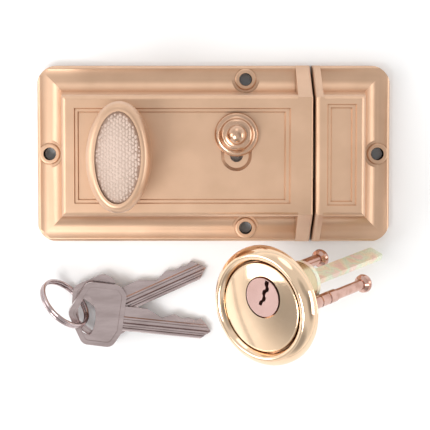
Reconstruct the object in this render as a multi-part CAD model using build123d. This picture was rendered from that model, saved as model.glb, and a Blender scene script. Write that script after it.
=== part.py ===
"""Rim night latch with its keep, rim cylinder and two keys, laid out as a set. Millimetres, +Z up.

The latch and the keep lie on their backs on z = 0, bolt side towards +X. The cylinder leans with its face
up and its tail bar touching the surface, and the keys lie on their split ring in front of the case.
The origin is the middle of the set's outer box, on the surface.
"""
from build123d import *
import math
import os

# ---- driving dimensions: latch and keep ----
CASE_LENGTH = 92.0
KEEP_LENGTH = 26.5
SEAM = 0.5
BREADTH = 59.4
DEPTH = 25.0
BACKSET = 62.8
CORNER_R = 7.0
MID_Y = 17.972
CASE_LEFT = -(CASE_LENGTH + SEAM + KEEP_LENGTH) / 2
CASE_FRONT = CASE_LEFT + CASE_LENGTH
KEEP_LEFT = CASE_FRONT + SEAM
KEEP_RIGHT = KEEP_LEFT + KEEP_LENGTH
Y_LOW = MID_Y - BREADTH / 2
Y_HIGH = MID_Y + BREADTH / 2
KNOB_X = CASE_FRONT - BACKSET

# ---- moulding and shell ----
RAISED_INSET = 11.3
MOULDING = [(0, 0), (0.15, 3.3), ((0.45, 4.15), (1.2, 4.5)), ((2.9, 4.3), (4.4, 4.6)),
            ((7.3, 6.1), (8.9, 9.6)), (9.9, 22.9), ((10.35, 24.4), (RAISED_INSET, DEPTH))]
CASE_BAND = 4.9
KEEP_BAND = 2.9
BAND_EDGE_Z = 3.0
BAND_INSET = 10.5
STEP_DEPTH = 0.55
STEP_SLOPE = 0.3
ROOF_UNDERSIDE = 22.0
CAVITY_LEVELS = ((2.5, 2.4), (10.0, 10.4), (11.8, ROOF_UNDERSIDE))
FRONT_WALL = 2.4

# ---- fixings ----
HOLE_R = 2.15
HOLE_INSET = 4.3
PAIR_SPACING = 50.0
PAIR_TO_FRONT = 21.7
PAD_R = 3.6
PAD_EDGE = 0.6
PAD_CLEAR_R = 4.6
PAD_Z = 5.3
POST_R = 2.6
POST_PLACES = [(x, MID_Y + y) for x in (CASE_LEFT + 13, CASE_FRONT - 8) for y in (-17, 17)]

# ---- bolt work ----
BOLT_THROW = 12.0
BOLT_HALF = 7.5
BOLT_LOW, BOLT_HIGH = 6.0, 17.0
BEVEL_LENGTH = 10.5
TAIL_Z = 10.0
TAIL_THICK = 2.5
TAIL_END = -33.0
TONGUE_LENGTH = 10.0
BOLT_BACK = CASE_FRONT - 12.0
CAM_R = 15.0
CAM_TIP_R = 3.0
CAM_ANGLE = 65.0
CAM_ARM_WIDTH = 3.0
CAM_GAP = 0.8
SPRING_Y = MID_Y - 12.0
SPRING_Z = 6.2
SPRING_FROM, SPRING_TO = -13.5, 16.5

# ---- knob ----
KNOB_LEAN = -1.0
SPINDLE_R = 3.7
BUSH_BORE_R = 3.78
BUSH_R = 6.4
KNOB_SECTIONS = [(25.6, 8.4, 14.2), (28.5, 9.4, 16.2), (32.5, 10.4, 17.8), (37.0, 10.5, 17.9),
                 (40.0, 10.0, 17.4), (41.5, 9.1, 16.5), (42.0, 8.0, 15.35)]
KNOB_FOOT_R = 7.6
INSERT_HALF = (7.3, 14.65)
INSERT_DEPTH = 2.0

# ---- snib ----
SNIB_X = CASE_FRONT - 25.0
SNIB_TRAVEL = 7.0
SNIB_BALL_Z = 33.4
SNIB_BALL_R = 3.2
SLOT_R = 2.075
SLOT_RECESS_R = 4.0
SLOT_RECESS_Z = 22.9
SLOT_RECESS_RISE = 2.1

# ---- rim cylinder, in its own frame: +Z out of the face, ring's back at RING_BACK ----
CYL_TILT = 40.0
CYL_HEADING = 13.2
CYL_ROLL = 55.7
RING_BACK = -3.6
RING_R = 19.4
RING_OPENING_R = 15.0
RING_NECK_R = 13.8
FACE_R = 14.5
FACE_BACK = -1.7
NECK_SPLIT = -6.0
NECK_END = -8.0
PLUG_OFFSET = 4.04
PLUG_TOP = 1.4
PLUG_R = 6.25
PLUG_BORE_R = 6.33
PLUG_RECESS_R = 6.7
PLUG_RECESS_Z = -0.6
KEYWAY = [(-0.6, 6.0), (0.9, 6.0), (0.9, 4.6), (1.5, 3.9), (1.5, 2.9), (0.8, 2.2), (0.8, 1.0), (1.4, 0.4),
          (1.4, -0.5), (0.7, -1.3), (0.5, -2.8), (-0.6, -2.8), (-0.6, -1.6), (0.05, -0.8), (0.05, 0.6),
          (-0.5, 1.3), (-0.5, 2.4), (0.2, 3.1), (0.2, 3.7), (-0.6, 4.6)]
BARREL_R = 7.3
BARREL_END = -18.0
PIN_COUNT = 5
PIN_PITCH = 2.8
PIN_FIRST = -4.6
PIN_R = 1.15
PIN_BORE_R = 1.25
TAIL_BAR_END = -62.6
TAIL_BAR_WIDTH = 5.6
TAIL_BAR_THICK = 1.9
SCREW_X = 9.15
SCREW_Y = 2.3
SCREW_HEAD_END = -44.3
SCREW_SHOULDER = -8.4
CYL_ORIGIN = Vector(15.22, MID_Y - 46.76, 48.66)

# ---- keys ----
KEY_THICK = 2.2
BOW_OUTLINE = [(-49.4, 1.4), (-43.9, 12.5), (-32.6, 12.4), (-30.2, 9.4), (-30.4, -3.6), (-33.2, -8.9),
               (-43.2, -8.7)]
BITTING = [(-22.5, 5.4), (-17.2, 2.7), (-13.1, 4.45), (-10.2, 3.25), (-7.9, 3.75), (-5.7, 3.1),
           (-3.9, 4.05), (-1.7, 2.0), (0, 0)]
BLADE_LOW = -2.85
BLADE_PROFILE = [(5.5, 3.2), (5.5, 1.8), (2.1, 1.8), (1.7, 2.3), (1.3, 2.3), (0.9, 1.35), (0.0, 1.35),
                 (-0.4, 2.3), (-0.9, 2.3), (-1.2, 1.7), (-1.7, 1.7), (-2.0, 2.3), (-2.4, 2.3), (-2.9, 1.7),
                 (-2.9, 3.2)]
FRONT_KEY = dict(tip=(-1.2, MID_Y - 60.6), heading=-7.1, rise=9.2)
REAR_KEY = dict(tip=(-2.7, MID_Y - 38.8), heading=23.9, rise=3.2)
RING_WIRE_R = 0.58
RING_PITCH = 1.1
KEY_RING_R = 9.2
KEY_RING_PLACE = Vector(-50.05, MID_Y - 50.25, 9.5)
KEY_RING_TILT = 66.0


def box(x0, x1, y0, y1, z0, z1):
    """A box given by its limits."""
    return Pos((x0 + x1) / 2, (y0 + y1) / 2, (z0 + z1) / 2) * Box(x1 - x0, y1 - y0, z1 - z0)


def rod(x, y, z0, z1, radius):
    """An upright cylinder given by its ends."""
    return Pos(x, y, (z0 + z1) / 2) * Cylinder(radius, z1 - z0)


def rod_along_x(x0, x1, y, z, radius):
    return Pos((x0 + x1) / 2, y, z) * Rot(0, 90, 0) * Cylinder(radius, x1 - x0)


def turned(points):
    """A solid of revolution about Z from an outline of (radius, z) points and three-point arcs."""
    return revolve(Plane.XZ * outline_face(points), Axis.Z)


def outline_face(steps):
    """A face from points; a step of two points is an arc through the first to the second."""
    edges = []
    here = steps[0]
    for step in steps[1:] + [steps[0]]:
        if is_arc(step):
            edges.append(ThreePointArc(here, step[0], step[1]))
            here = step[1]
        elif math.dist(here, step) > 1e-6:
            edges.append(Line(here, step))
            here = step
    return make_face(edges)


# ---- mouldings ----

def is_arc(step):
    return isinstance(step[0], tuple)


def moulding_steps(edge, inward):
    """The moulded border's line from the back edge up to the raised face, at one edge of the cover."""
    def at(point):
        return (edge + inward * point[0], point[1])
    return [(at(step[0]), at(step[1])) if is_arc(step) else at(step) for step in MOULDING]


def backwards(steps):
    """The same line from its other end."""
    ends = [step[1] if is_arc(step) else step for step in steps]
    line = [ends[-1]]
    for step, end in zip(reversed(steps[1:]), reversed(ends[:-1])):
        line.append((step[0], end) if is_arc(step) else end)
    return line


def moulded_block(outer_x, plain_x):
    """The moulded part of a cover: moulding on three sides, plain towards plain_x."""
    inward = 1 if plain_x > outer_x else -1
    along = outline_face(moulding_steps(outer_x, inward) + [(plain_x, DEPTH), (plain_x, 0)])
    across = outline_face(moulding_steps(Y_LOW, 1) + backwards(moulding_steps(Y_HIGH, -1)))
    run = extrude(Plane.XZ * along, BREADTH / 2, both=True)
    low_x = min(outer_x, plain_x)
    bar = Pos(low_x, 0, 0) * extrude(Plane.YZ * across, abs(plain_x - outer_x))
    return Pos(0, MID_Y, 0) * run & bar


def plain_band(x0, x1):
    """The plain sloped end next to the seam."""
    face = make_face(Polyline((Y_LOW, 0), (Y_HIGH, 0), (Y_HIGH, BAND_EDGE_Z), (Y_HIGH - BAND_INSET, DEPTH),
                              (Y_LOW + BAND_INSET, DEPTH), (Y_LOW, BAND_EDGE_Z), close=True))
    return Pos(x0, 0, 0) * extrude(Plane.YZ * face, x1 - x0)


def rounded_corner_cut(x, corner_sides):
    """Material outside the rounded corners on one side of a cover."""
    cuts = []
    for side in corner_sides:
        y = Y_HIGH if side > 0 else Y_LOW
        toward = 1 if x < 0 else -1
        cx, cy = x + toward * CORNER_R, y - side * CORNER_R
        block = box(min(x, cx), max(x, cx), min(y, cy), max(y, cy), -1, DEPTH + 1)
        cuts.append(block - rod(cx, cy, -1, DEPTH + 1, CORNER_R))
    return cuts


def cavity(x0, x1, inset_low, inset_high):
    """The stepped hollow of a cover; inset_low and inset_high say which X ends are moulded."""
    hollow = None
    for inset, top in CAVITY_LEVELS:
        left = x0 + (inset if inset_low else FRONT_WALL)
        right = x1 - (inset if inset_high else FRONT_WALL)
        level = box(left, right, Y_LOW + inset, Y_HIGH - inset, -1, top)
        hollow = level if hollow is None else hollow + level
    return hollow


def screw_pad(x, y):
    """A raised round pad with its fixing hole; the first solid clears the moulding around it."""
    clear = rod(x, y, PAD_Z - PAD_EDGE, DEPTH + 1, PAD_CLEAR_R)
    shoulder = (PAD_R - 0.3 * PAD_EDGE, PAD_Z - 0.3 * PAD_EDGE)
    pad = turned([(0, 0), (PAD_R, 0), (PAD_R, PAD_Z - PAD_EDGE), (shoulder, (PAD_R - PAD_EDGE, PAD_Z)),
                  (0, PAD_Z)])
    return clear, Pos(x, y, 0) * pad, rod(x, y, -1, DEPTH, HOLE_R)


def stepped_panel(x0, x1, y0, y1, second_inset):
    """Two shallow sloped steps sunk into a cover's face; second_inset is left, right, bottom, top."""
    left, right, bottom, top = second_inset
    first = sunk_step(x0, x1, y0, y1, DEPTH)
    return first + sunk_step(x0 + left, x1 - right, y0 + bottom, y1 - top, DEPTH - STEP_DEPTH)


def sunk_step(x0, x1, y0, y1, z_top):
    """A shallow rectangular hollow of the given limits at z_top, sloping in to its floor."""
    middle = Pos((x0 + x1) / 2, (y0 + y1) / 2, z_top)
    sections = []
    for steps_up in (-1, 1):
        grow = 2 * STEP_SLOPE * steps_up
        level = middle * Pos(0, 0, steps_up * STEP_DEPTH)
        sections.append(level * Rectangle(x1 - x0 + grow, y1 - y0 + grow))
    return loft(sections)


# ---- case ----

CASE_HOLES = [(CASE_LEFT + HOLE_INSET, MID_Y),
              (CASE_FRONT - PAIR_TO_FRONT, MID_Y - PAIR_SPACING / 2),
              (CASE_FRONT - PAIR_TO_FRONT, MID_Y + PAIR_SPACING / 2)]
KEEP_HOLES = [(KEEP_RIGHT - HOLE_INSET, MID_Y)]


def case_cover():
    shell = moulded_block(CASE_LEFT, CASE_FRONT - CASE_BAND) + soft_band(
        CASE_FRONT - CASE_BAND, CASE_FRONT, CASE_FRONT, 0.8)
    for cut in rounded_corner_cut(CASE_LEFT, (-1, 1)):
        shell -= cut
    shell -= cavity(CASE_LEFT, CASE_FRONT, True, False)
    for x, y in POST_PLACES:
        shell += rod(x, y, 1.8, ROOF_UNDERSIDE + 0.5, POST_R)
    for x, y in POST_PLACES:
        shell -= rod(x, y, 0, 9.5, 1.2)
    for x, y in CASE_HOLES:
        clear, pad, hole = screw_pad(x, y)
        shell = shell - clear + pad - hole
    shell -= stepped_panel(CASE_LEFT + 14.1, CASE_FRONT - 7.4, Y_LOW + 14.1, Y_HIGH - 14.1,
                           (1.15, 1.6, 1.15, 1.15))
    shell -= rod(KNOB_X, MID_Y, ROOF_UNDERSIDE - 1, DEPTH + 1, BUSH_R)
    shell -= slot_recess()
    shell -= slot_prism(SLOT_R, ROOF_UNDERSIDE - 1, DEPTH + 1)
    mouth = BOLT_HALF + 0.4
    return shell - box(CASE_FRONT - FRONT_WALL - 1, CASE_FRONT + 1, MID_Y - mouth, MID_Y + mouth,
                       BOLT_LOW - 0.4, BOLT_HIGH + 0.4)


def soft_band(x0, x1, rounded_x, radius):
    """A plain band with its upper edges rounded at rounded_x."""
    band = plain_band(x0, x1)
    at_end = [e for e in band.edges() if abs(e.center().X - rounded_x) < 0.01]
    return fillet([e for e in at_end if e.center().Z > BAND_EDGE_Z + 1], radius)


def slot_prism(radius, z0, z1):
    """The snib's slot: round-ended, from mid-height up by the travel."""
    slot = Rot(0, 0, 90) * SlotCenterToCenter(SNIB_TRAVEL, 2 * radius)
    return Pos(SNIB_X, MID_Y + SNIB_TRAVEL / 2, z0) * extrude(slot, z1 - z0)


def slot_recess():
    """The shallow hollow around the snib's slot, with sloped sides."""
    sections = []
    for rise in (0, SLOT_RECESS_RISE):
        slot = Rot(0, 0, 90) * SlotCenterToCenter(SNIB_TRAVEL, 2 * (SLOT_RECESS_R + rise))
        sections.append(Pos(SNIB_X, MID_Y + SNIB_TRAVEL / 2, SLOT_RECESS_Z + rise) * slot)
    return loft(sections)


def back_plate():
    plate = box(CASE_LEFT + 9.6, CASE_FRONT - FRONT_WALL - 0.3, Y_LOW + 9.6, Y_HIGH - 9.6, 0.2, 1.7)
    plate -= rod(KNOB_X, MID_Y, 0, 2, 5.08)
    for x, y in POST_PLACES:
        plate -= rod(x, y, 0, 2, 1.25)
        plate -= rod(x, y, 0, 1.0, 2.4)
    for y in (-1, 1):
        slot = Rot(0, 0, 90) * SlotCenterToCenter(5, 5)
        plate -= Pos(KNOB_X, MID_Y + y * 13.5, 0) * extrude(slot, 2)
    return plate


def back_plate_screws():
    screws = []
    for x, y in POST_PLACES:
        slot = box(x - 2.5, x + 2.5, y - 0.3, y + 0.3, 0, 0.6)
        screws.append(rod(x, y, 0.25, 0.95, 2.3) + rod(x, y, 0.9, 9.0, 1.15) - slot)
    return Compound(children=screws)


def spring_guide_pin():
    bracket = box(SPRING_FROM - 3.2, SPRING_FROM - 0.3, SPRING_Y - 3.5, SPRING_Y + 3.5, 1.7, 9.4)
    return bracket + rod_along_x(SPRING_FROM - 1.5, SPRING_TO + 5.5, SPRING_Y, SPRING_Z, 1.5)


def bolt_spring():
    turns = 9
    length = SPRING_TO - SPRING_FROM - 1.2
    path = Helix(length / turns, length, 2.6)
    wire = sweep(Plane(origin=path @ 0, z_dir=path % 0) * Circle(0.4), path, is_frenet=True)
    return Pos(SPRING_FROM + 0.6, SPRING_Y, SPRING_Z) * Rot(0, 90, 0) * wire


def knob_bush():
    bush = rod(KNOB_X, MID_Y, ROOF_UNDERSIDE, DEPTH - 0.5, BUSH_R - 0.02)
    bush += rod(KNOB_X, MID_Y, ROOF_UNDERSIDE - 1.2, ROOF_UNDERSIDE, BUSH_R + 1.2)
    return bush - rod(KNOB_X, MID_Y, ROOF_UNDERSIDE - 2, DEPTH, BUSH_BORE_R)


def snib_detent_spring():
    x = SNIB_X + 6.0
    leaf = box(x - 1.5, x + 1.5, MID_Y - 6, MID_Y + 13, ROOF_UNDERSIDE - 0.6, ROOF_UNDERSIDE)
    bead = Pos(x, MID_Y + 2, ROOF_UNDERSIDE - 0.6) * Rot(0, 90, 0) * Cylinder(0.9, 3.0)
    return leaf + (bead & box(x - 2, x + 2, MID_Y, MID_Y + 4, ROOF_UNDERSIDE - 2, ROOF_UNDERSIDE))


# ---- bolt ----

def bolt_head():
    nose = CASE_FRONT + BOLT_THROW
    heel = BOLT_BACK - TONGUE_LENGTH
    head = box(BOLT_BACK, nose, MID_Y - BOLT_HALF, MID_Y + BOLT_HALF, BOLT_LOW, BOLT_HIGH)
    bevel = make_face(Polyline((nose + 1, BOLT_LOW - 1), (nose - BEVEL_LENGTH, BOLT_LOW - 1),
                               (nose - BEVEL_LENGTH, BOLT_LOW), (nose - 0.6, BOLT_HIGH - 3),
                               (nose + 1, BOLT_HIGH - 3), close=True))
    head -= Pos(0, MID_Y + BOLT_HALF + 1, 0) * extrude(Plane.XZ * bevel, 2 * BOLT_HALF + 2)
    tongue = box(heel, BOLT_BACK, MID_Y - BOLT_HALF, MID_Y + BOLT_HALF, BOLT_LOW, TAIL_Z)
    return head + tongue - rivet_holes()


def bolt_tail():
    """A forked plate that rides over the cam, with a lug for the cam and one for the spring."""
    top = TAIL_Z + TAIL_THICK
    right = BOLT_BACK - 0.1
    tail = box(TAIL_END, right, MID_Y - 7, MID_Y + 7, TAIL_Z, top)
    tail += box(TAIL_END, 2, MID_Y - 10, MID_Y + 10, TAIL_Z, top)
    fork_end = KNOB_X + BOLT_THROW + 5.2
    tail -= box(TAIL_END - 1, fork_end, MID_Y - 5.4, MID_Y + 5.4, TAIL_Z - 1, top + 1)
    cam_face = KNOB_X + CAM_R * math.cos(math.radians(CAM_ANGLE)) - CAM_TIP_R - CAM_GAP
    tail += box(cam_face - 3, cam_face, MID_Y + 8, MID_Y + 17.3, TAIL_Z, top)
    tail += box(cam_face - 3, cam_face, MID_Y + 11, MID_Y + 17.3, 5.5, TAIL_Z)
    tail += box(SPRING_TO, SPRING_TO + 3, SPRING_Y - 3.2, MID_Y, TAIL_Z, top)
    lug = box(SPRING_TO, SPRING_TO + 3, SPRING_Y - 3.2, SPRING_Y + 3.2, 3.2, TAIL_Z)
    return tail + lug - rod_along_x(SPRING_TO - 1, SPRING_TO + 4, SPRING_Y, SPRING_Z, 1.85) - rivet_holes()


def rivet_places():
    return [(BOLT_BACK - TONGUE_LENGTH / 2, MID_Y + y) for y in (-3.5, 3.5)]


def rivet_holes():
    holes = [rod(x, y, BOLT_LOW - 1, TAIL_Z + TAIL_THICK + 1, 1.5) for x, y in rivet_places()]
    return holes[0] + holes[1]


def bolt_rivets():
    rivets = []
    for x, y in rivet_places():
        shank = rod(x, y, BOLT_LOW + 0.2, TAIL_Z + TAIL_THICK, 1.48)
        rivets.append(shank + rod(x, y, TAIL_Z + TAIL_THICK, TAIL_Z + TAIL_THICK + 1.0, 2.3))
    return Compound(children=rivets)


# ---- knob ----

def knob_place():
    return Pos(KNOB_X, MID_Y, 0) * Rot(0, 0, KNOB_LEAN)


def knob_body():
    sections = [Pos(0, 0, z) * Ellipse(rx, ry) for z, rx, ry in KNOB_SECTIONS]
    body = loft(sections)
    top = KNOB_SECTIONS[-1][0]
    recess = Pos(0, 0, top - INSERT_DEPTH) * extrude(Ellipse(INSERT_HALF[0] + 0.05, INSERT_HALF[1] + 0.05),
                                                     INSERT_DEPTH + 1)
    body -= recess
    body += rod(0, 0, DEPTH - 0.3, KNOB_SECTIONS[0][0] + 1, KNOB_FOOT_R)
    body -= rod(0, 0, DEPTH - 1, DEPTH + 9, SPINDLE_R + 0.02)
    return knob_place() * body


def knob_insert():
    top = KNOB_SECTIONS[-1][0]
    return knob_place() * Pos(0, 0, top - INSERT_DEPTH) * extrude(Ellipse(*INSERT_HALF), INSERT_DEPTH - 0.8)


def knob_spindle():
    return rod(KNOB_X, MID_Y, 6.05, DEPTH + 8.9, SPINDLE_R)


def knob_clip():
    ring = rod(KNOB_X, MID_Y, 19.2, 20.3, 6.0) - rod(KNOB_X, MID_Y, 19, 21, SPINDLE_R + 0.02)
    return ring - box(KNOB_X - 1.5, KNOB_X + 1.5, MID_Y - 8, MID_Y, 19, 21)


def follower():
    """The cam under the knob, with the slot that takes the cylinder's tail bar."""
    angle = math.radians(CAM_ANGLE)
    tip_x = KNOB_X + CAM_R * math.cos(angle)
    tip_y = MID_Y + CAM_R * math.sin(angle)
    cam = rod(KNOB_X, MID_Y, 2.2, 9.2, 7.0) + rod(KNOB_X, MID_Y, 0.3, 2.2, 5.0)
    arm = Pos((KNOB_X + tip_x) / 2, (MID_Y + tip_y) / 2, 7.1) * Rot(0, 0, CAM_ANGLE) * Box(
        CAM_R, CAM_ARM_WIDTH, 4.2)
    cam = cam + arm + rod(tip_x, tip_y, 5.0, 9.2, CAM_TIP_R)
    cam -= rod(KNOB_X, MID_Y, 6, 10, SPINDLE_R + 0.03)
    return cam - Pos(KNOB_X, MID_Y, 3) * Box(2.6, 6.6, 6)


# ---- snib ----

def snib_button():
    profile = [(0, 24.9), (6.9, 24.9), ((7.15, 25.8), (6.6, 26.7)), ((5.6, 27.0), (5.2, 27.6)),
               ((5.15, 28.5), (4.3, 29.3)), ((2.6, 29.9), (1.8, 31.2)), (0, 31.2)]
    button = turned(profile) + Pos(0, 0, SNIB_BALL_Z) * Sphere(SNIB_BALL_R)
    return Pos(SNIB_X, MID_Y + SNIB_TRAVEL, 0) * button


def snib_stem():
    return rod(SNIB_X, MID_Y + SNIB_TRAVEL, 19.5, 24.9, 1.7)


def snib_slide():
    y = MID_Y + SNIB_TRAVEL
    plate = box(SNIB_X - 6, SNIB_X + 7.5, y - 6, y + 6, 17.5, 19.5)
    return plate + box(SNIB_X - 6, SNIB_X - 3, y - 6, y - 2, 14.0, 17.5)


# ---- keep ----

def keep_cover():
    shell = moulded_block(KEEP_RIGHT, KEEP_LEFT + KEEP_BAND) + soft_band(
        KEEP_LEFT, KEEP_LEFT + KEEP_BAND, KEEP_LEFT, 1.8)
    for cut in rounded_corner_cut(KEEP_RIGHT, (-1, 1)):
        shell -= cut
    shell -= cavity(KEEP_LEFT, KEEP_RIGHT, False, True)
    for x, y in KEEP_HOLES:
        clear, pad, hole = screw_pad(x, y)
        shell = shell - clear + pad - hole
    shell -= stepped_panel(KEEP_LEFT + 4.1, KEEP_RIGHT - 12.9, Y_LOW + 13.5, Y_HIGH - 12.8,
                           (1.1, 1.4, 1.2, 1.1))
    mouth = BOLT_HALF + 0.8
    return shell - box(KEEP_LEFT - 1, KEEP_LEFT + FRONT_WALL + 1, MID_Y - mouth, MID_Y + mouth,
                       BOLT_LOW - 0.8, BOLT_HIGH + 0.6)


# ---- rim cylinder ----

def cylinder_frame():
    """Where the cylinder's own frame sits: face tilted up and away from its tail."""
    tilt, heading = math.radians(CYL_TILT), math.radians(CYL_HEADING)
    out = Vector(-math.sin(tilt) * math.cos(heading), -math.sin(tilt) * math.sin(heading), math.cos(tilt))
    level = Vector(math.sin(heading), -math.cos(heading), 0)
    frame = Plane(origin=CYL_ORIGIN, x_dir=level, z_dir=out)
    return frame.location * Rot(0, 0, CYL_ROLL)


def pull_ring():
    return turned([(RING_NECK_R, RING_BACK), (RING_R - 0.5, RING_BACK),
                   ((RING_R - 0.1, -3.45), (RING_R, -2.9)), ((RING_R - 0.4, -0.6), (RING_R - 1.7, 1.1)),
                   ((RING_R - 2.8, 1.55), (RING_R - 3.8, 1.0)), (RING_OPENING_R, 0),
                   (RING_OPENING_R, FACE_BACK), (RING_NECK_R, FACE_BACK)])


def cylinder_face():
    """The domed face, with a narrow recess around the plug, on a short round neck."""
    face = turned([(0, NECK_SPLIT), (RING_NECK_R - 0.1, NECK_SPLIT), (RING_NECK_R - 0.1, FACE_BACK),
                   (FACE_R, FACE_BACK), (FACE_R, -0.1), ((FACE_R - 0.15, 0.25), (FACE_R - 0.6, 0.35)),
                   ((7.6, 1.15), (0, 1.45))])
    face -= rod(0, PLUG_OFFSET, PLUG_RECESS_Z, PLUG_TOP + 1, PLUG_RECESS_R)
    return face - plug_bore() - pin_bores()


def cylinder_body():
    """The neck's back part with the barrel, the pin chamber and the two screw bosses."""
    body = rod(0, 0, NECK_END, NECK_SPLIT, RING_NECK_R - 0.1)
    body += rod(0, PLUG_OFFSET, BARREL_END, NECK_END, BARREL_R)
    body += box(-3.6, 3.6, -12.4, PLUG_OFFSET, BARREL_END + 0.2, NECK_END)
    for x in (-SCREW_X, SCREW_X):
        body += rod(x, SCREW_Y, -10.5, NECK_END, 2.7)
        body -= rod(x, SCREW_Y, -11, NECK_SPLIT - 0.4, 1.65)
        body -= rod(x, SCREW_Y, BARREL_END - 1, SCREW_SHOULDER, 2.15)
    return body - plug_bore() - pin_bores()


def plug_bore():
    return rod(0, PLUG_OFFSET, BARREL_END - 1, 4, PLUG_BORE_R)


def pin_bores():
    bores = [pin_stack(z, PLUG_R + 0.01, 17.2, PIN_BORE_R) for z in pin_levels()]
    return Compound(children=bores)


def pin_levels():
    return [PIN_FIRST - i * PIN_PITCH for i in range(PIN_COUNT)]


def pin_stack(z, start, end, radius):
    """A round piece from start to end below the plug's axis, square to it."""
    return Pos(0, PLUG_OFFSET - (start + end) / 2, z) * Rot(90, 0, 0) * Cylinder(radius, end - start)


def plug():
    body = rod(0, PLUG_OFFSET, BARREL_END + 0.2, PLUG_TOP, PLUG_R)
    body -= Pos(0, PLUG_OFFSET, BARREL_END + 2) * extrude(make_face(Polyline(*KEYWAY, close=True)), 20)
    for z in pin_levels():
        body -= pin_stack(z, 0.9, PLUG_R + 1, PIN_BORE_R)
    return body


def key_pins():
    return Compound(children=[pin_stack(z, 2.2, PLUG_R - 0.15, PIN_R) for z in pin_levels()])


def driver_pins():
    return Compound(children=[pin_stack(z, PLUG_BORE_R + 0.1, 11.0, PIN_R) for z in pin_levels()])


def pin_springs():
    springs = []
    for z in pin_levels():
        path = Helix(1.1, 5.0, 0.8)
        wire = sweep(Plane(origin=path @ 0, z_dir=path % 0) * Circle(0.18), path, is_frenet=True)
        springs.append(Pos(0, PLUG_OFFSET - 11.3, z) * Rot(90, 0, 0) * wire)
    return Compound(children=springs)


def chamber_cover():
    return box(-3.6, 3.6, -13.2, -12.45, BARREL_END + 0.2, -8.2)


def tail_cap():
    """The cap that holds the plug in at the back and carries the tail bar."""
    rear = BARREL_END - 0.4
    cap = turned([(0, rear), (7.1, rear), (7.1, rear - 1.7), (5.9, rear - 3.0), (0, rear - 3.0)])
    half_width, half_thick = TAIL_BAR_WIDTH / 2 + 0.02, TAIL_BAR_THICK / 2 + 0.02
    slot = box(-half_width, half_width, -half_thick, half_thick, rear - 4, rear + 1)
    return Pos(0, PLUG_OFFSET, 0) * (cap - slot)


def tail_bar():
    bar = box(-TAIL_BAR_WIDTH / 2, TAIL_BAR_WIDTH / 2, PLUG_OFFSET - TAIL_BAR_THICK / 2,
              PLUG_OFFSET + TAIL_BAR_THICK / 2, TAIL_BAR_END, BARREL_END + 0.15)
    ends = [e for e in bar.edges().filter_by(Axis.Y) if e.center().Z < TAIL_BAR_END + 1]
    return chamfer(ends, 0.6)


def fixing_screws():
    """Two long screws with break-off notches, heads away from the cylinder."""
    outline = [(0, -6.5), (1.6, -6.5), (1.6, SCREW_SHOULDER - 0.1), (2.1, SCREW_SHOULDER - 0.1)]
    for z in (-13.0, -17.5, -22.0):
        outline += [(2.1, z + 0.35), (1.55, z), (2.1, z - 0.35)]
    head = SCREW_HEAD_END
    outline += [(2.1, -26.0), (1.75, -26.4), (1.75, head + 3.0), (2.9, head + 2.4), (3.1, head + 1.6),
                ((2.6, head + 0.4), (1.4, head)), (0, head)]
    return Compound(children=[Pos(x, SCREW_Y, 0) * turned(outline) for x in (-SCREW_X, SCREW_X)])


# ---- keys ----

def key_place(tip, heading, rise):
    """Tip on the surface, bow raised; the key's own +X runs from bow to tip."""
    return Pos(tip[0], tip[1], 0.05) * Rot(0, 0, heading) * Rot(0, rise, 0)


def key_blank():
    bow = fillet(make_face(Polyline(*BOW_OUTLINE, close=True)).vertices(), 3.2)
    blade = make_face(Polyline(*BITTING, (-3.4, BLADE_LOW), (-31.5, BLADE_LOW), (-31.5, 5.4), close=True))
    blade = extrude(blade, KEY_THICK)
    milled = extrude(Plane.YZ * make_face(Polyline(*BLADE_PROFILE, close=True)), 31)
    blade -= Pos(-30.3, 0, 0) * milled
    blade -= box(-30.3, 1, -1.0, 0.6, -1, 0.55)
    key = extrude(bow, KEY_THICK) + blade
    rim = offset(bow, -1.5)
    for z in (KEY_THICK - 0.4, -0.6):
        key -= Pos(0, 0, z) * extrude(rim, 1.0)
    hole = outline_face([(-43.9, 9.0), ((-40.2, 3.2), (-40.9, -5.6)), (-43.4, -4.9), (-46.6, 1.2)])
    return key - Pos(0, 0, -1) * extrude(fillet(hole.vertices(), 0.8), KEY_THICK + 2)


def key_front():
    return key_place(**FRONT_KEY) * key_blank()


def key_rear():
    return key_place(**REAR_KEY) * key_blank()


def split_ring():
    ring = Torus(KEY_RING_R, RING_WIRE_R)
    pair = Pos(0, 0, RING_PITCH / 2) * ring + Pos(0, 0, -RING_PITCH / 2) * ring
    return Pos(*KEY_RING_PLACE) * Rot(0, 0, -45) * Rot(-KEY_RING_TILT, 0, 0) * pair


UPRIGHT = [case_cover, back_plate, back_plate_screws, spring_guide_pin, bolt_spring, knob_bush,
           snib_detent_spring, bolt_head, bolt_tail, bolt_rivets, knob_body, knob_insert, knob_spindle,
           knob_clip, follower, snib_button, snib_stem, snib_slide, keep_cover, key_front, key_rear,
           split_ring]
LEANING = [pull_ring, cylinder_face, cylinder_body, plug, key_pins, driver_pins, pin_springs, chamber_cover,
           tail_cap, tail_bar, fixing_screws]

os.makedirs("parts", exist_ok=True)
for make in UPRIGHT:
    export_step(make(), os.path.join("parts", make.__name__ + ".step"))
for make in LEANING:
    export_step(cylinder_frame() * make(), os.path.join("parts", make.__name__ + ".step"))
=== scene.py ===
"""Rim night latch set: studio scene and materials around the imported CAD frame. Metres, +Z up."""
import math
import random

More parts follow.
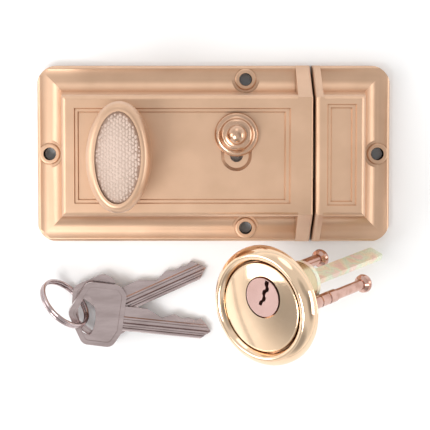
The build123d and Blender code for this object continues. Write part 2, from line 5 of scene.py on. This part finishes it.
import bpy
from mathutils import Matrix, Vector


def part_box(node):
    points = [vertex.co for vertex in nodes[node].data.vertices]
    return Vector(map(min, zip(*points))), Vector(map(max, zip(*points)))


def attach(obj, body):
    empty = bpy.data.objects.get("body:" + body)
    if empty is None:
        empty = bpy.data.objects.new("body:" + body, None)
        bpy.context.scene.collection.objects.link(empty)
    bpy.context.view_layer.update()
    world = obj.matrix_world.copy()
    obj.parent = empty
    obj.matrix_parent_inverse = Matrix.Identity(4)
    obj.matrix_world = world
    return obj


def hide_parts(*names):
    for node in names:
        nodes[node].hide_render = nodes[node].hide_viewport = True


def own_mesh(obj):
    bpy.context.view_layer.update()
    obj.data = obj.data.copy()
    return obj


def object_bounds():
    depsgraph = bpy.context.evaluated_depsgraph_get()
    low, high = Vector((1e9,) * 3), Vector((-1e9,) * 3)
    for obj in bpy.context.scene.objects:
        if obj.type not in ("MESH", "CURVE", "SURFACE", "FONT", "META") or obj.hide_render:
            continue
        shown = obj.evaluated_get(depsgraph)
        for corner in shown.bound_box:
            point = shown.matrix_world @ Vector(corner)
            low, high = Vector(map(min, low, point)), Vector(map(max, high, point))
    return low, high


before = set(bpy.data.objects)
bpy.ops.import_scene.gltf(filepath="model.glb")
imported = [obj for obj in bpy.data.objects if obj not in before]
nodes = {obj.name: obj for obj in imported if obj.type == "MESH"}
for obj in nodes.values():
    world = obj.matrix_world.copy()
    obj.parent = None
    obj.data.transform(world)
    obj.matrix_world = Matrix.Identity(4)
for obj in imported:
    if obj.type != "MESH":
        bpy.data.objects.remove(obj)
cad_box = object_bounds()
MM = 0.001
scene = bpy.context.scene


# ---- camera ----

CAMERA_HEIGHT = 600 * MM
CAMERA_BACK = 20.5 * MM
AIM_FORWARD = 21.0 * MM
AIM_RIGHT = 0.5 * MM
SEEN_WIDTH = 146.5 * MM
SENSOR_WIDTH = 36


def make_camera():
    """Almost straight above the latch, as far off as the foreshortening of the case says."""
    low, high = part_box("case_cover")
    case_middle = (low.y + high.y) / 2
    set_middle = 0.5 * (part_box("case_cover")[0].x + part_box("keep_cover")[1].x)
    aim = Vector((set_middle + AIM_RIGHT, case_middle - AIM_FORWARD, 0))
    place = Vector((aim.x, case_middle + CAMERA_BACK, CAMERA_HEIGHT))
    data = bpy.data.cameras.new("camera")
    data.sensor_width = SENSOR_WIDTH
    data.lens = SENSOR_WIDTH * (place - aim).length / SEEN_WIDTH
    data.clip_start = 0.01
    camera = bpy.data.objects.new("camera", data)
    camera.location = place
    camera.rotation_euler = (math.atan2(aim.y - place.y, place.z), 0, 0)
    scene.collection.objects.link(camera)
    scene.camera = camera


# ---- node helpers ----

def new_material(name):
    """A material with its node tree and its principled shader."""
    material = bpy.data.materials.new(name)
    material.use_nodes = True
    tree = material.node_tree
    shader = tree.nodes["Principled BSDF"]
    return material, tree, shader


def add(tree, kind, **values):
    """A new node; each value goes to the input of that name, or else to the property."""
    node = tree.nodes.new(kind)
    for key, value in values.items():
        if key in node.inputs:
            node.inputs[key].default_value = value
        else:
            setattr(node, key, value)
    return node


def coordinates(tree, stretch=(1, 1, 1)):
    """Object coordinates in millimetres, with an optional stretch."""
    source = add(tree, "ShaderNodeTexCoord")
    mapping = add(tree, "ShaderNodeMapping")
    mapping.inputs["Scale"].default_value = tuple(s / MM for s in stretch)
    tree.links.new(source.outputs["Object"], mapping.inputs["Vector"])
    return mapping.outputs["Vector"]


def noise(tree, vector, scale, detail=3.0):
    node = add(tree, "ShaderNodeTexNoise", Scale=scale, Detail=detail, Roughness=0.5)
    tree.links.new(vector, node.inputs["Vector"])
    return node.outputs["Fac"]


def spread(tree, value, low, high, from_low=0.3, from_high=0.7):
    """The value moved from one range to another, and kept inside it."""
    node = add(tree, "ShaderNodeMapRange")
    node.inputs["From Min"].default_value = from_low
    node.inputs["From Max"].default_value = from_high
    node.inputs["To Min"].default_value = low
    node.inputs["To Max"].default_value = high
    tree.links.new(value, node.inputs["Value"])
    return node.outputs["Result"]


def ramp(tree, value, stops):
    """A colour ramp with a stop for each (place, colour)."""
    node = add(tree, "ShaderNodeValToRGB")
    points = node.color_ramp.elements
    while len(points) < len(stops):
        points.new(0.5)
    for point, (place, colour) in zip(points, stops):
        point.position = place
        point.color = (*colour, 1)
    tree.links.new(value, node.inputs["Fac"])
    return node.outputs["Color"]


def bump(tree, shader, height, strength, distance_mm):
    node = add(tree, "ShaderNodeBump")
    node.inputs["Strength"].default_value = strength
    node.inputs["Distance"].default_value = distance_mm * MM
    tree.links.new(height, node.inputs["Height"])
    tree.links.new(node.outputs["Normal"], shader.inputs["Normal"])


# ---- materials ----

# AO settings for the painted shade in closed-in hollows: samples, then the AO values where that shade is
# darkest and where it is gone.
CREVICE_SAMPLES = 6
CLOSED_IN, OPEN = 0.2, 0.75


def paint_crevice_shade(tree, colour, reach_mm, darkest):
    """The colour with painted shade: darkened by an AO node where the surface is closed in and shade falls.
    """
    closed = add(tree, "ShaderNodeAmbientOcclusion", Distance=reach_mm * MM)
    closed.samples = CREVICE_SAMPLES
    shade = ramp(tree, closed.outputs["AO"], [(CLOSED_IN, darkest), (OPEN, (1, 1, 1))])
    mixed = add(tree, "ShaderNodeVectorMath", operation="MULTIPLY")
    tree.links.new(colour, mixed.inputs[0])
    tree.links.new(shade, mixed.inputs[1])
    return mixed.outputs["Vector"]


def metal(name, dark, light, rough, blotch=0.08, grain=3.0, grain_depth=0.01, stretch=(1, 1, 1), coat=0.0,
          metallic=1.0, crevice_shade=None):
    """A metal with faint blotches in colour, uneven gloss, fine grain and painted shade darkening its
    closed-in hollows.
    """
    material, tree, shader = new_material(name)
    shader.inputs["Metallic"].default_value = metallic
    shader.inputs["Coat Weight"].default_value = coat
    shader.inputs["Coat Roughness"].default_value = 0.25
    place = coordinates(tree, stretch)
    broad = noise(tree, place, blotch)
    fine = noise(tree, place, grain, detail=4)
    colour = ramp(tree, broad, [(0.35, dark), (0.65, light)])
    # Painted shade: the base colour darkens in closed-in hollows and grooves.
    if crevice_shade:
        colour = paint_crevice_shade(tree, colour, *crevice_shade)
    tree.links.new(colour, shader.inputs["Base Color"])
    tree.links.new(spread(tree, fine, rough[0], rough[1]), shader.inputs["Roughness"])
    bump(tree, shader, fine, 0.5, grain_depth)
    return material


def make_materials():
    """Each material by name: darker and lighter colour, range of roughness, then what is special to it."""
    return {
        # crevice_shade is painted shade: its reach in millimetres and its darkest colour in closed-in
        # hollows.
        "satin_gold": metal("satin_gold", (0.64, 0.415, 0.275), (0.70, 0.46, 0.31), (0.38, 0.46), grain=5.0,
                            coat=0.2, metallic=0.85, crevice_shade=(1.1, (0.35, 0.28, 0.24))),
        "pale_insert": metal("pale_insert", (0.60, 0.46, 0.38), (0.65, 0.50, 0.42), (0.50, 0.58), grain=5.0,
                             metallic=0.12),
        "polished_brass": metal("polished_brass", (0.88, 0.64, 0.44), (0.94, 0.70, 0.49), (0.06, 0.11),
                                grain=1.5, grain_depth=0.002, crevice_shade=(1.2, (0.34, 0.21, 0.14))),
        "snib_brass": metal("snib_brass", (0.58, 0.37, 0.25), (0.66, 0.43, 0.30), (0.20, 0.28), grain=2.0,
                            grain_depth=0.002, crevice_shade=(0.8, (0.45, 0.36, 0.30))),
        "bearing_brass": metal("bearing_brass", (0.62, 0.50, 0.30), (0.70, 0.58, 0.38), (0.2, 0.3)),
        "nickel_plug": metal("nickel_plug", (0.70, 0.45, 0.40), (0.78, 0.52, 0.47), (0.26, 0.36), grain=6.0,
                             grain_depth=0.012, crevice_shade=(0.5, (0.30, 0.20, 0.17))),
        "nickel_key": metal("nickel_key", (0.46, 0.37, 0.36), (0.56, 0.46, 0.45), (0.16, 0.26), blotch=0.25,
                            grain_depth=0.004, stretch=(0.3, 1.5, 1), crevice_shade=(0.6, (0.40, 0.32, 0.31))),
        "nickel_wire": metal("nickel_wire", (0.46, 0.37, 0.37), (0.56, 0.46, 0.46), (0.10, 0.18),
                             crevice_shade=(0.5, (0.40, 0.32, 0.32))),
        "steel": metal("steel", (0.50, 0.42, 0.36), (0.58, 0.48, 0.42), (0.25, 0.35)),
        "copper_zinc": metal("copper_zinc", (0.50, 0.28, 0.22), (0.68, 0.44, 0.37), (0.08, 0.16), blotch=0.3,
                             crevice_shade=(0.6, (0.40, 0.28, 0.24))),
        # Near-black, for the tubes of painted shade inside the fixing holes.
        "painted_hole_shade": metal("painted_hole_shade", (0.030, 0.020, 0.018), (0.045, 0.030, 0.026), (0.5, 0.6)),
        "yellow_zinc": yellow_zinc(),
    }


def yellow_zinc():
    """Passivated zinc: thin-film colours drifting between straw, green and pink."""
    material, tree, shader = new_material("yellow_zinc")
    shader.inputs["Metallic"].default_value = 0.2
    place = coordinates(tree)
    drift = noise(tree, place, 0.16, detail=2)
    fine = noise(tree, place, 5.0, detail=4)
    colours = [(0.34, (0.92, 0.66, 0.55)), (0.45, (0.95, 0.82, 0.60)), (0.55, (0.80, 0.88, 0.68)),
               (0.66, (0.95, 0.75, 0.64))]
    tree.links.new(ramp(tree, drift, colours), shader.inputs["Base Color"])
    tree.links.new(spread(tree, fine, 0.22, 0.34), shader.inputs["Roughness"])
    bump(tree, shader, fine, 0.5, 0.008)
    return material


# The material of each CAD node.
NODE_MATERIALS = {
    "satin_gold": ["case_cover", "keep_cover", "knob_body"],
    "pale_insert": ["knob_insert"],
    "polished_brass": ["pull_ring", "cylinder_face"],
    "snib_brass": ["snib_button"],
    "bearing_brass": ["knob_bush", "bolt_head", "chamber_cover", "driver_pins", "key_pins", "cylinder_body"],
    "nickel_plug": ["plug"],
    "nickel_key": ["key_front", "key_rear"],
    "nickel_wire": ["split_ring"],
    "steel": ["spring_guide_pin", "bolt_spring", "snib_detent_spring", "bolt_tail", "bolt_rivets",
              "knob_spindle", "knob_clip", "follower", "snib_stem", "snib_slide", "pin_springs"],
    "copper_zinc": ["fixing_screws"],
    "yellow_zinc": ["back_plate", "back_plate_screws", "tail_cap", "tail_bar"],
}
# The width of each worn edge, in millimetres.
SOFT_EDGES = {"case_cover": 0.12, "keep_cover": 0.12, "key_front": 0.12, "key_rear": 0.12, "tail_bar": 0.12,
              "plug": 0.05}


def dress_nodes(materials):
    for name, members in NODE_MATERIALS.items():
        for node in members:
            slots = nodes[node].data.materials
            slots.clear()
            slots.append(materials[name])


def soften_edges():
    """Small worn edges that catch the light."""
    for name, width in SOFT_EDGES.items():
        edge = nodes[name].modifiers.new("worn_edge", "BEVEL")
        edge.width = width * MM
        edge.segments = 2
        edge.limit_method = "ANGLE"
        edge.angle_limit = math.radians(30)
        edge.harden_normals = True


# ---- pieces that stand for CAD nodes ----

def mesh_piece(name, points, faces, material):
    """A smooth-shaded mesh in the row frame."""
    mesh = bpy.data.meshes.new(name)
    mesh.from_pydata(points, [], faces)
    mesh.update()
    mesh.materials.append(material)
    mesh.shade_smooth()
    piece = bpy.data.objects.new(name, mesh)
    scene.collection.objects.link(piece)
    return piece


# A pip's rings, foot first: share of its radius and of its height.
PIP_LEVELS = [(1.0, -0.3), (0.84, 0.30), (0.58, 0.72), (0.28, 0.96)]
PIP_SIDES = 10
PIP_PITCH_X, PIP_PITCH_Y = 0.98 * MM, 1.30 * MM
PIP_HEIGHT = 0.15 * MM
PIP_SHIFT_X, PIP_SHIFT_Y = 0.14, 0.18
PIP_RADIUS_X, PIP_RADIUS_Y = (0.47, 0.56), (0.62, 0.80)
PIP_TURN = 0.5
PIP_ROOM = 0.25 * MM
PIP_COLUMNS, PIP_ROWS = 8, 14
PLATE_SIDES = 120
PIP_SEED = 7


def dome(points, faces, centre, radius_x, radius_y, turn):
    """One low pip: rings of a flattened dome with its foot sunk into the plate."""
    start = len(points)
    for grow, rise in PIP_LEVELS:
        for i in range(PIP_SIDES):
            angle = 2 * math.pi * i / PIP_SIDES
            x, y = radius_x * grow * math.cos(angle), radius_y * grow * math.sin(angle)
            points.append((centre[0] + x * math.cos(turn) - y * math.sin(turn),
                           centre[1] + x * math.sin(turn) + y * math.cos(turn),
                           centre[2] + rise * PIP_HEIGHT))
    for level in range(len(PIP_LEVELS) - 1):
        for i in range(PIP_SIDES):
            j = (i + 1) % PIP_SIDES
            low, high = start + level * PIP_SIDES, start + (level + 1) * PIP_SIDES
            faces.append((low + i, low + j, high + j, high + i))
    faces.append(tuple(start + (len(PIP_LEVELS) - 1) * PIP_SIDES + i for i in range(PIP_SIDES)))
    faces.append(tuple(start + i for i in reversed(range(PIP_SIDES))))


def make_pebbled_insert(materials):
    """The knob's oval plate with its field of low pips, smaller where the plate's edge leaves less room."""
    low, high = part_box("knob_insert")
    centre = (low + high) / 2
    half_x, half_y = (high.x - low.x) / 2, (high.y - low.y) / 2
    plate_z = high.z - PIP_HEIGHT
    sides = PLATE_SIDES
    rim = [(math.cos(2 * math.pi * i / sides), math.sin(2 * math.pi * i / sides)) for i in range(sides)]
    points = [(centre.x + half_x * c, centre.y + half_y * s, z) for z in (low.z, plate_z) for c, s in rim]
    faces = [(i, (i + 1) % sides, sides + (i + 1) % sides, sides + i) for i in range(sides)]
    faces.append(tuple(range(sides, 2 * sides)))
    faces.append(tuple(reversed(range(sides))))
    chance = random.Random(PIP_SEED)
    for column in range(-PIP_COLUMNS, PIP_COLUMNS + 1):
        for row in range(-PIP_ROWS, PIP_ROWS + 1):
            x = column * PIP_PITCH_X + chance.uniform(-PIP_SHIFT_X, PIP_SHIFT_X) * MM
            y = (row + 0.5 * (column % 2)) * PIP_PITCH_Y + chance.uniform(-PIP_SHIFT_Y, PIP_SHIFT_Y) * MM
            to_edge = (1 - math.hypot(x / half_x, y / half_y)) * half_x
            if to_edge > PIP_ROOM:
                fit = min(1.0, to_edge / (PIP_RADIUS_X[1] * MM))
                dome(points, faces, (centre.x + x, centre.y + y, plate_z),
                     chance.uniform(*PIP_RADIUS_X) * fit * MM, chance.uniform(*PIP_RADIUS_Y) * fit * MM,
                     chance.uniform(-PIP_TURN, PIP_TURN))
    piece = mesh_piece("pebbled_insert", points, faces, materials["pale_insert"])
    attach(piece, "knob")
    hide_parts("knob_insert")


SPRING_WIRE_R = 0.40 * MM
SPRING_TURNS = 9
SPRING_STEPS = 24
WIRE_SIDES = 8


def make_bolt_spring(materials):
    """The bolt's coil spring as a fixed coil on the case; the real one shortens as the knob draws the bolt
    back.
    """
    low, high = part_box("bolt_spring")
    coil_r = (high.z - low.z) / 2 - SPRING_WIRE_R
    axis_y, axis_z = (low.y + high.y) / 2, (low.z + high.z) / 2
    length = high.x - low.x - 2 * SPRING_WIRE_R
    lean = math.atan2(length / SPRING_TURNS, 2 * math.pi * coil_r)
    rings = SPRING_TURNS * SPRING_STEPS
    points, faces = [], []
    for i in range(rings + 1):
        turn = 2 * math.pi * i / SPRING_STEPS - math.pi / 2
        out = Vector((0, math.cos(turn), math.sin(turn)))
        across = Vector((math.cos(lean), math.sin(lean) * math.sin(turn), -math.sin(lean) * math.cos(turn)))
        centre = Vector((low.x + SPRING_WIRE_R + length * i / rings, axis_y, axis_z)) + out * coil_r
        for j in range(WIRE_SIDES):
            angle = 2 * math.pi * j / WIRE_SIDES
            points.append(centre + (out * math.cos(angle) + across * math.sin(angle)) * SPRING_WIRE_R)
    for i in range(rings):
        here, after = i * WIRE_SIDES, (i + 1) * WIRE_SIDES
        for j in range(WIRE_SIDES):
            k = (j + 1) % WIRE_SIDES
            faces.append((here + j, here + k, after + k, after + j))
    faces.append(tuple(range(WIRE_SIDES)))
    faces.append(tuple(rings * WIRE_SIDES + j for j in reversed(range(WIRE_SIDES))))
    piece = mesh_piece("coiled_bolt_spring", points, faces, materials["steel"])
    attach(piece, "case")
    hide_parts("bolt_spring")
    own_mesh(piece)


# ---- painted shade in the fixing holes, as thin dark tubes ----

# Each hole's place along the body from its low end and across it from its middle line, in millimetres.
HOLES = {"case": ("case_cover", [(4.3, 0), (70.3, 25.0), (70.3, -25.0)]),
         "keep": ("keep_cover", [(22.2, 0)])}
# The painted-shade tubes in millimetres: radius, wall, low end and top end.
SHADE_TUBE_R = 2.13
SHADE_TUBE_THICK = 0.12
SHADE_TUBE_LOW, SHADE_TUBE_TOP = 0.1, 4.9
SHADE_TUBE_SIDES = 32
SHADE_TUBE_SECTION = [(SHADE_TUBE_R, SHADE_TUBE_LOW), (SHADE_TUBE_R, SHADE_TUBE_TOP), (SHADE_TUBE_R - SHADE_TUBE_THICK, SHADE_TUBE_TOP),
                  (SHADE_TUBE_R - SHADE_TUBE_THICK, SHADE_TUBE_LOW)]


def make_hole_shade_tubes(materials):
    """A thin dark tube inside each fixing hole, as painted shade down the hole."""
    for body, (cover, places) in HOLES.items():
        low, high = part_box(cover)
        points, faces = [], []
        for along, across in places:
            x, y = low.x + along * MM, (low.y + high.y) / 2 + across * MM
            start = len(points)
            for radius, z in SHADE_TUBE_SECTION:
                for i in range(SHADE_TUBE_SIDES):
                    angle = 2 * math.pi * i / SHADE_TUBE_SIDES
                    points.append((x + radius * MM * math.cos(angle), y + radius * MM * math.sin(angle),
                                   z * MM))
            for ring in range(len(SHADE_TUBE_SECTION)):
                here = start + ring * SHADE_TUBE_SIDES
                after = start + (ring + 1) % len(SHADE_TUBE_SECTION) * SHADE_TUBE_SIDES
                for i in range(SHADE_TUBE_SIDES):
                    j = (i + 1) % SHADE_TUBE_SIDES
                    faces.append((here + i, here + j, after + j, after + i))
        piece = mesh_piece(body + "_painted_hole_shade_tubes", points, faces, materials["painted_hole_shade"])
        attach(piece, body)


# ---- studio ----

FLOOR_HALF = 1.5


def make_floor():
    """A sheet of white paper at the set's lowest point."""
    low_z = cad_box[0][2]
    mesh = bpy.data.meshes.new("floor")
    corners = [(x * FLOOR_HALF, y * FLOOR_HALF, low_z) for x, y in ((-1, -1), (1, -1), (1, 1), (-1, 1))]
    mesh.from_pydata(corners, [], [(0, 1, 2, 3)])
    floor = bpy.data.objects.new("floor", mesh)
    scene.collection.objects.link(floor)
    material, _, shader = new_material("floor_paper")
    shader.inputs["Base Color"].default_value = (0.96, 0.96, 0.96, 1)
    shader.inputs["Roughness"].default_value = 0.8
    shader.inputs["Specular IOR Level"].default_value = 0.1
    mesh.materials.append(material)


def area_light(name, place, aim, size, power):
    data = bpy.data.lights.new(name, "AREA")
    data.shape = "RECTANGLE"
    data.size, data.size_y = size
    data.energy = power
    light = bpy.data.objects.new(name, data)
    light.location = place
    light.rotation_euler = (Vector(aim) - Vector(place)).to_track_quat("-Z", "Y").to_euler()
    scene.collection.objects.link(light)


def toward(azimuth, elevation):
    """The unit vector at these angles, in degrees."""
    around, up = math.radians(azimuth), math.radians(elevation)
    return math.cos(up) * math.cos(around), math.cos(up) * math.sin(around), math.sin(up)


# A soft card in the room: azimuth, elevation, full to and gone at, in degrees, and what it multiplies by.
CARDS = [(-163, 27, 10, 26, 0.55), (91, 24, 12, 16, 2.2), (-5, 38, 12, 28, 0.35), (40, 58, 8, 20, 0.60),
         (-91, 26, 12, 30, 0.50), (180, 30, 8, 20, 1.3)]
# The room's grey at each height, from the table's level to straight above.
RISE = [(0.0, 1.2), (0.15, 1.0), (0.35, 0.80), (1.0, 0.78)]


def make_world():
    """A pale room, brightest near the table, with a few lighter and darker soft cards."""
    world = bpy.data.worlds.new("studio")
    world.use_nodes = True
    tree = world.node_tree
    source = tree.nodes.new("ShaderNodeTexCoord")
    split = tree.nodes.new("ShaderNodeSeparateXYZ")
    tree.links.new(source.outputs["Generated"], split.inputs["Vector"])
    light = ramp(tree, split.outputs["Z"], [(height, (grey, grey, grey)) for height, grey in RISE])
    for azimuth, elevation, full, gone, gain in CARDS:
        facing = add(tree, "ShaderNodeVectorMath", operation="DOT_PRODUCT")
        facing.inputs[1].default_value = toward(azimuth, elevation)
        tree.links.new(source.outputs["Generated"], facing.inputs[0])
        factor = spread(tree, facing.outputs["Value"], 1.0, gain, math.cos(math.radians(gone)),
                        math.cos(math.radians(full)))
        mixed = add(tree, "ShaderNodeVectorMath", operation="SCALE")
        tree.links.new(light, mixed.inputs[0])
        tree.links.new(factor, mixed.inputs["Scale"])
        light = mixed.outputs["Vector"]
    tree.links.new(light, tree.nodes["Background"].inputs["Color"])
    scene.world = world


def make_lights():
    """Two wide soft lights at the sides and a smaller one at the front left."""
    area_light("left_wall", (-0.65, 0.03, 0.30), (0, 0.02, 0.02), (0.34, 0.35), 1.15)
    area_light("right_wall", (0.75, 0.0, 0.35), (0, 0, 0.02), (0.5, 0.3), 1.5)
    area_light("key", (-0.26, -0.24, 0.50), (0, 0.01, 0), (0.25, 0.25), 1.7)


make_camera()
materials = make_materials()
dress_nodes(materials)
soften_edges()
make_pebbled_insert(materials)
make_bolt_spring(materials)
make_hole_shade_tubes(materials)
make_floor()
make_world()
make_lights()
scene.view_settings.view_transform = "Standard"
